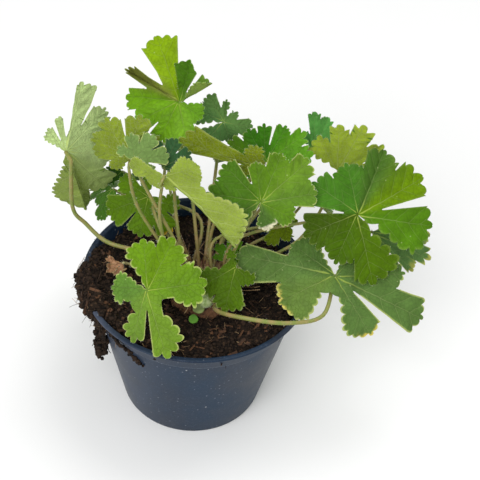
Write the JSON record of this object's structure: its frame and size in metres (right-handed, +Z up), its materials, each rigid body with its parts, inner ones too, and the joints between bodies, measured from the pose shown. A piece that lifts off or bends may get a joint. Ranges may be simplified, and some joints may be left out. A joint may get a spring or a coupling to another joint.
{
  "type": "potted hardy geranium",
  "caption": "Leafy hardy geranium with lobed toothed leaves on long stalks, growing in peat that spills over one side of a low round nursery pot.",
  "frame": {"origin": "centre of the pot's base on the surface it stands on", "axes": "+Z up along the pot's axis, -Y the near side of the picture, +X the viewer's right"},
  "size_m": [0.2228, 0.1603, 0.2033],
  "materials": {
    "pot": "satin moulded plastic with soil dust",
    "peat": "damp fibrous peat",
    "rootstock": "scaly brown rootstock",
    "leaf": "soft, slightly downy leaf",
    "dry_leaf": "dry and papery"
  },
  "bodies": {
    "root": {"pot": "pot", "soil": "peat", "crown": "rootstock", "leaf_01": "leaf", "leaf_02": "leaf", "leaf_03": "leaf", "leaf_04": "leaf", "leaf_05": "leaf", "leaf_06": "leaf", "leaf_07": "leaf", "leaf_08": "leaf", "leaf_09": "leaf", "leaf_10": "leaf", "leaf_11": "leaf", "leaf_12": "leaf", "leaf_13": "leaf", "leaf_14": "leaf", "leaf_15": "leaf", "leaf_16": "leaf", "leaf_17": "leaf", "leaf_18": "leaf", "leaf_19": "leaf", "leaf_20": "leaf", "leaf_21": "leaf", "leaf_22": "leaf", "leaf_23": "leaf", "leaf_24": "leaf", "leaf_25": "leaf", "leaf_26": "leaf", "bud": "leaf", "dead_leaf": "dry_leaf", "dry_stalk_1": "dry_leaf", "dry_stalk_2": "dry_leaf"}
  },
  "joints": []
}
